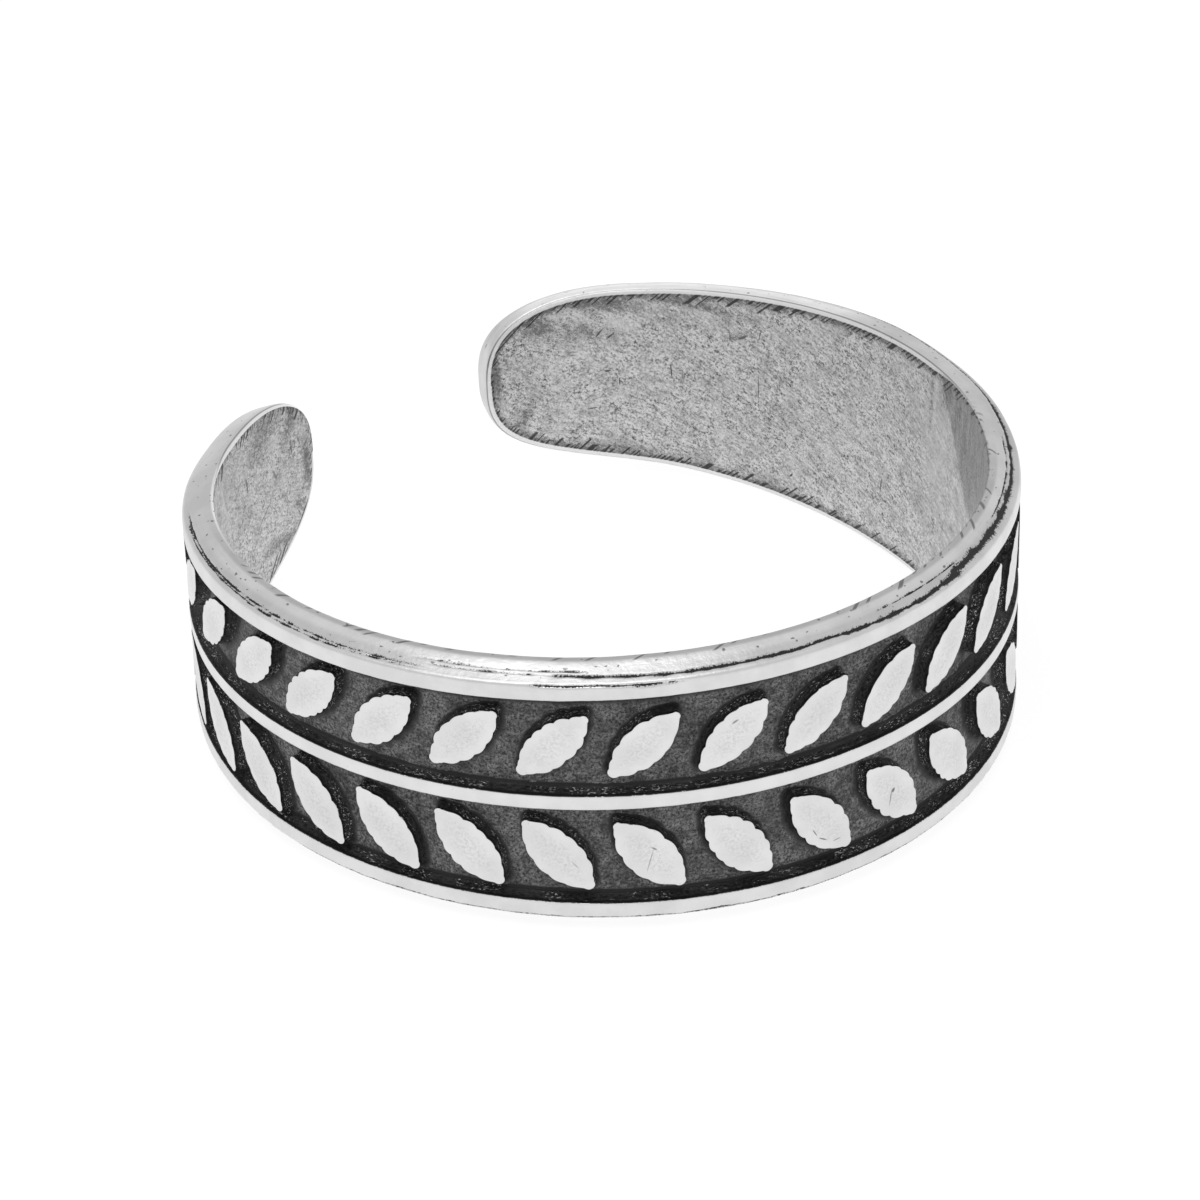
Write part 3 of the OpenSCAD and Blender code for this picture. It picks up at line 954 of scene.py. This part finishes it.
def rim_material():
    """Borders and rims: worn bright, with painted highlight and shade across the section,
    tarnish in the worn lines and in file marks, and painted shade in a line along the
    lower edge.
    """
    m = Nodes("worn_rim")
    flat, rim, dark = m.attribute("flat"), m.attribute("rim"), m.attribute("dark", "Fac")
    s, way, _ = m.split(rim)
    cloud = m.noise(flat, 1.1, 4.0, 0.6)
    fine = m.noise(flat, 26.0, 3.0, 0.7)
    black = m.ramp(m.add(dark, m.spread(fine, 0.25, 0.35, 0.65)), 0.22, 0.45)
    back = m.times(m.ramp(s, 14.0, 17.0), m.ramp(s, 24.9, 23.4))
    # The tone across the rim's section is painted highlight and shade.
    tone = m.times(rim_painted_light(m, s, way, back), m.ramp(cloud, 0.35, 0.65, 0.94, 1.04))
    pits = m.ramp(m.stretched_noise(rim, (6.0, 9.0, 0.0), 1.0, 0.5), 0.69, 0.73)
    pits = m.times(pits, m.ramp(way, 0.45, 0.50))
    marks = m.most(rim_file_marks(m, s, way), pits)
    tone = m.mix(m.times(rim_hairlines(m, rim, way, back), 0.6), tone, 0.25)
    tone = m.mix(m.times(marks, 0.75), tone, SCRATCH_TONE)
    tone = m.mix(m.times(rim_crease(m, s, way), 0.7), tone, 0.16)
    normal = m.bump(m.noise(flat, 9.0, 3.0, 0.6), 0.25, SMOOTH_BUMP)
    colour = m.mix(black, tone, RIM_BLACK)
    return m.finish(colour, m.mix(black, 0.34, 0.7), m.mix(black, 1.0, 0.2), normal)


# Scratches, blotches and pale places on the inner wall, with the same columns
SCRATCHES = [
    (20.38, 0.2, 85, 0.18, 0.018, 0.9), (18.1, 0.18, 90, 0.28, 0.014, 0.7),
    (18.05, 1.5, 100, 0.13, 0.016, 0.7), (14.35, -1.05, 98, 0.2, 0.018, 0.8),
    (21.7, -0.14, 90, 0.1, 0.014, 0.9), (22, 0.12, 175, 0.08, 0.018, 0.9),
    (22.4, -0.82, 170, 0.12, 0.016, 0.8), (15.05, -0.66, 95, 0.09, 0.014, 0.7),
    (17.2, -1.78, 130, 0.06, 0.02, 0.9), (22.2, 1.05, 130, 0.13, 0.02, 0.8),
    (21.9, 1, 140, 0.12, 0.02, 0.8), (18.5, 1.34, 150, 0.14, 0.03, 0.7),
    (18.85, 1.28, 90, 0.1, 0.02, 0.6), (-21.5, 0.95, 80, 0.19, 0.03, 0.8),
    (-23.05, 0.38, 60, 0.16, 0.04, 0.6), (-23.9, 0.62, 85, 0.22, 0.025, 0.6),
    (-22.45, -0.25, 160, 0.4, 0.02, 0.5), (-21, -1.1, 30, 0.3, 0.02, 0.4),
]
BLOTCHES = [
    (23.9, 1.45, 35, 0.75, 0.32, 0.9), (22.5, 1.85, 5, 1.3, 0.22, 1),
    (22.6, 1.1, 5, 1.1, 0.22, 0.6), (20.3, 1.98, 5, 1.9, 0.14, 0.9),
    (24.95, 0.15, 90, 0.75, 0.17, 1), (24.3, -1.05, 125, 0.7, 0.16, 0.8),
    (21.6, -1.9, 5, 1.5, 0.22, 0.8), (18.8, -2.15, 5, 1.8, 0.22, 0.55),
    (18.6, 1.35, 160, 0.4, 0.12, 0.6), (17, -0.6, 160, 2.4, 0.5, 0.25),
    (11.6, 2.35, 120, 0.55, 0.3, 0.7), (10.9, 2.15, 115, 0.55, 0.14, 0.6),
    (12.35, 1.75, 96, 0.75, 0.08, 0.7), (-22.6, 1.6, 160, 1, 0.42, 0.75),
    (-24, 1.35, 130, 0.75, 0.25, 0.8), (-24.55, -0.05, 90, 0.6, 0.15, 1),
    (-23.2, -1.35, 10, 1, 0.16, 0.8), (-24.2, -0.95, 40, 0.5, 0.15, 0.7),
    (-19.1, 1.65, 20, 0.45, 0.35, 0.5), (-21.8, -0.5, 120, 0.6, 0.2, 0.4),
]
PALE = [
    (23.25, 1.56, 165, 0.42, 0.12, 0.9), (22.45, 0.42, 80, 0.22, 0.12, 0.7),
    (21.7, 1.3, 20, 0.35, 0.2, 0.8), (20.28, 0.2, 60, 0.14, 0.08, 0.7),
    (18, 0.18, 90, 0.25, 0.04, 0.5), (12.15, 1.9, 96, 0.7, 0.05, 0.8),
    (12.1, 0.9, 100, 1.2, 0.6, 0.5), (-19.75, 1.45, 65, 0.65, 0.06, 0.9),
    (-23, 1.15, 20, 0.3, 0.16, 0.6),
]
# Widths of the bright strips along the upper and the lower edge of the inner wall
UPPER_STRIP = 0.12
LOWER_STRIP = 0.14
# The way at which the inner wall begins
INNER_WAY = 1.01
# How far the strokes at the edges lean, and the turn of the brushed texture
STROKE_LEAN = 1.2
BRUSH_TURN = 25


class InnerWall(Nodes):
    """The inner wall: dull and mottled, with file strokes along its edges, and a painted
    dark reflection on its right side.
    """

    def __init__(self):
        super().__init__("filed_inner_wall")
        self.flat = self.attribute("flat")
        self.s, self.z, _ = self.split(self.flat)
        _, way, side = self.split(self.attribute("rim"))
        self.lower = self.ramp(side, 0.25 * LOWER_SIDE, 0.75 * LOWER_SIDE)
        self.back = self.ramp(self.s, 10.5, 12.5)
        strip = self.mix(self.lower, self.times(self.back, UPPER_STRIP), LOWER_STRIP)
        self.depth = self.minus(self.minus(way, INNER_WAY), strip)
        turned = self.node("ShaderNodeMapping", {
            "Vector": self.flat, "Rotation": (0, 0, math.radians(BRUSH_TURN)),
        }, vector_type="TEXTURE").outputs[0]
        self.brushed = self.stretched_noise(turned, (2.4, 11.0, 1.0), 5.0, 0.75)
        self.short = self.stretched_noise(turned, (8.0, 17.0, 1.0), 3.0, 0.7)
        self.grain = self.noise(self.flat, 19.0, 3.0, 0.8)
        self.mottle = self.noise(self.flat, 9.0, 5.0, 0.8)
        self.clumps = self.noise(self.flat, 3.0, 5.0, 0.75)

    def texture(self):
        """The dull surface: fine where it is rough and patchy, and coarser everywhere."""
        fine = self.add(self.spread(self.grain, 0.27), self.spread(self.short, 0.15))
        fine = self.add(fine, self.spread(self.mottle, 0.15))
        rough = self.most(self.ramp(self.s, 11.5, 14.0, 0.55, 1.0),
                          self.ramp(self.s, -19.5, -21.5, 0.4, 1.0))
        patchy = self.ramp(self.noise(self.flat, 1.6, 3.0, 0.6), 0.38, 0.62, 0.65, 1.25)
        tone = self.times(fine, self.times(rough, patchy))
        tone = self.add(tone, self.spread(self.brushed, 0.11))
        tone = self.add(tone, self.spread(self.clumps, 0.09))
        cloud = self.noise(self.flat, 0.8, 4.0, 0.6)
        tone = self.add(tone, self.ramp(cloud, 0.3, 0.7, 0.47, 0.56))
        return self.math("MINIMUM", self.most(tone, 0.09), 0.74)

    def with_painted_reflection(self, tone):
        """A painted dark reflection: the smooth darker side on the right, with a slanted ragged
        edge.
        """
        edge = self.add(10.24, self.times(self.z, 0.64))
        edge = self.add(edge, self.spread(self.clumps, 0.10))
        there = self.times(self.ramp(self.minus(edge, self.s), -0.04, 0.10),
                           self.ramp(self.z, -0.1, 0.5))
        there = self.times(there, self.ramp(self.s, 5.0, 7.0))
        streaks = self.stretched_noise(self.flat, (7.0, 1.4, 1.0), 4.0, 0.7)
        reflection_tone = self.add(self.ramp(streaks, 0.3, 0.7, 0.20, 0.38),
                               self.spread(self.grain, 0.10))
        return self.mix(self.times(there, 0.85), tone, reflection_tone)

    def ragged_blotches(self):
        """Dark speckled fields: the listed ones, and a narrow one along each edge."""
        edge = self.times(self.ramp(self.depth, 0.30, 0.0), self.most(self.back, 0.3))
        fields = self.most(self.spots(BLOTCHES, 0.9), edge)
        speckled = self.add(self.times(self.mottle, 0.60), self.times(self.grain, 0.40))
        return self.ramp(self.add(self.times(fields, 0.14), speckled), 0.56, 0.64)

    def edge_strokes(self):
        """File strokes that reach inward from both edges."""
        across = self.add(self.s, self.times(self.z, STROKE_LEAN))
        both = self.most(self.strokes(across, self.depth, 0.19, 0.34, 0.23),
                         self.strokes(across, self.depth, 0.121, 0.20, 0.26))
        return self.times(both, self.ramp(self.depth, -0.02, 0.01, 0.0, 0.9))

    def build(self):
        # The texture, with a painted dark reflection on the right side.
        tone = self.with_painted_reflection(self.texture())
        tone = self.mix(self.times(self.spots(PALE, 0.6), 0.6), tone, PALE_TONE)
        tone = self.mix(self.times(self.ragged_blotches(), 0.80), tone, BLOTCH_TONE)
        strip = self.times(self.ramp(self.depth, 0.01, -0.01), self.most(self.lower, self.back))
        tone = self.mix(strip, tone, EDGE_TONE)
        marks = self.most(self.edge_strokes(), self.spots(SCRATCHES, 0.4))
        tone = self.mix(marks, tone, STROKE_TONE)
        normal = self.bump(self.add(self.brushed, self.grain), 0.4, GRAIN_BUMP)
        return self.finish(tone, 0.45, 0.9, normal)


def wall_material():
    """The steep walls of the relief: dark, with clumps of small bright dashes."""
    m = Nodes("cast_wall")
    flat, dark = m.attribute("flat"), m.attribute("dark", "Fac")
    fine = m.stretched_noise(flat, (11.0, 17.0, 22.0), 3.0, 0.7)
    dashes = m.ramp(m.stretched_noise(flat, (14.0, 26.0, 45.0), 2.0, 0.6), 0.59, 0.66)
    clumps = m.ramp(m.noise(flat, 1.7, 2.0, 0.5), 0.42, 0.56)
    tone = m.ramp(fine, 0.35, 0.65, 0.012, 0.075)
    tone = m.mix(m.times(dashes, clumps), tone, 0.9)
    black = m.ramp(m.add(dark, m.spread(fine, 0.2)), 0.5, 0.85)
    return m.finish(m.mix(black, tone, WALL_BLACK), 0.45, 0.5, m.bump(fine, 0.6, GRAIN_BUMP))


# Half the floor's width in metres, its tone and its glow
FLOOR_HALF = 2.0
FLOOR_TONE = 0.22
FLOOR_GLOW = 0.85
# Strength of the white surroundings, and the soft lamp's size, power and places
WORLD_LIGHT = 0.78
LAMP_SIZE = 0.12
LAMP_POWER = 0.06
LAMP_AT = (-0.05, -0.02, 0.16)
LAMP_AIM = (0, 0, 0.003)


def floor():
    mesh = bpy.data.meshes.new("floor")
    half = FLOOR_HALF
    corners = [(-half, -half, 0), (half, -half, 0), (half, half, 0), (-half, half, 0)]
    mesh.from_pydata(corners, [], [(0, 1, 2, 3)])
    mesh.materials.append(Nodes("floor_white").surface({
        "Base Color": (FLOOR_TONE, FLOOR_TONE, FLOOR_TONE, 1), "Roughness": 0.9,
        "Specular IOR Level": 0.0, "Emission Color": (1, 1, 1, 1),
        "Emission Strength": FLOOR_GLOW,
    }))
    add_object("floor", mesh)


def lights():
    world = bpy.data.worlds.new("studio")
    bpy.context.scene.world = world
    world.use_nodes = True
    back = world.node_tree.nodes["Background"]
    back.inputs["Color"].default_value = (1, 1, 1, 1)
    back.inputs["Strength"].default_value = WORLD_LIGHT
    data = bpy.data.lights.new("soft_box", "AREA")
    data.size = LAMP_SIZE
    data.energy = LAMP_POWER
    lamp = add_object("soft_box", data)
    lamp.location = LAMP_AT
    to_ring = Vector(LAMP_AIM) - Vector(LAMP_AT)
    lamp.rotation_euler = to_ring.to_track_quat("-Z", "Y").to_euler()


def camera():
    """The photo's camera, which turns with the plan into the part's frame."""
    az, el, roll = (math.radians(v) for v in (CAMERA_AZIMUTH, CAMERA_ELEVATION, CAMERA_ROLL))
    back = np.array([math.sin(az) * math.cos(el), -math.cos(az) * math.cos(el), math.sin(el)])
    right = np.array([math.cos(az), math.sin(az), 0.0])
    up = np.cross(back, right)
    right, up = (math.cos(roll) * right + math.sin(roll) * up,
                 math.cos(roll) * up - math.sin(roll) * right)
    origin = to_frame(np.zeros(3))
    axes = [(to_frame(v) - origin) / MM for v in (right, up, back)]
    spot = to_frame(np.array(AIM) + CAMERA_DISTANCE * back)
    data = bpy.data.cameras.new("camera")
    data.sensor_width = SENSOR_W
    data.lens = SENSOR_W * CAMERA_DISTANCE / FIELD_W
    data.shift_x = (IMAGE_PX / 2 - AXIS_PX[0]) / IMAGE_PX
    data.shift_y = (AXIS_PX[1] - IMAGE_PX / 2) / IMAGE_PX
    data.clip_start = CLIP_START
    data.clip_end = CLIP_END
    cam = add_object("camera", data)
    cam.matrix_world = Matrix([*zip(*axes, spot), (0, 0, 0, 1)])
    bpy.context.scene.camera = cam


def main():
    materials = [recess_material(), polished_material(), InnerWall().build(),
                 wall_material(), rim_material()]
    pieces = [
        band_piece(materials),
        ridge_piece(materials),
        leaf_row("upper_leaves", 1, UPPER_LEAVES, materials),
        leaf_row("lower_leaves", -1, LOWER_LEAVES, materials),
    ]
    for piece in pieces:
        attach(piece, "root")
        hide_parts("leaf_band")
    floor()
    lights()
    camera()
    scene = bpy.context.scene
    scene.view_settings.view_transform = "Standard"
    scene.view_settings.look = "None"


main()
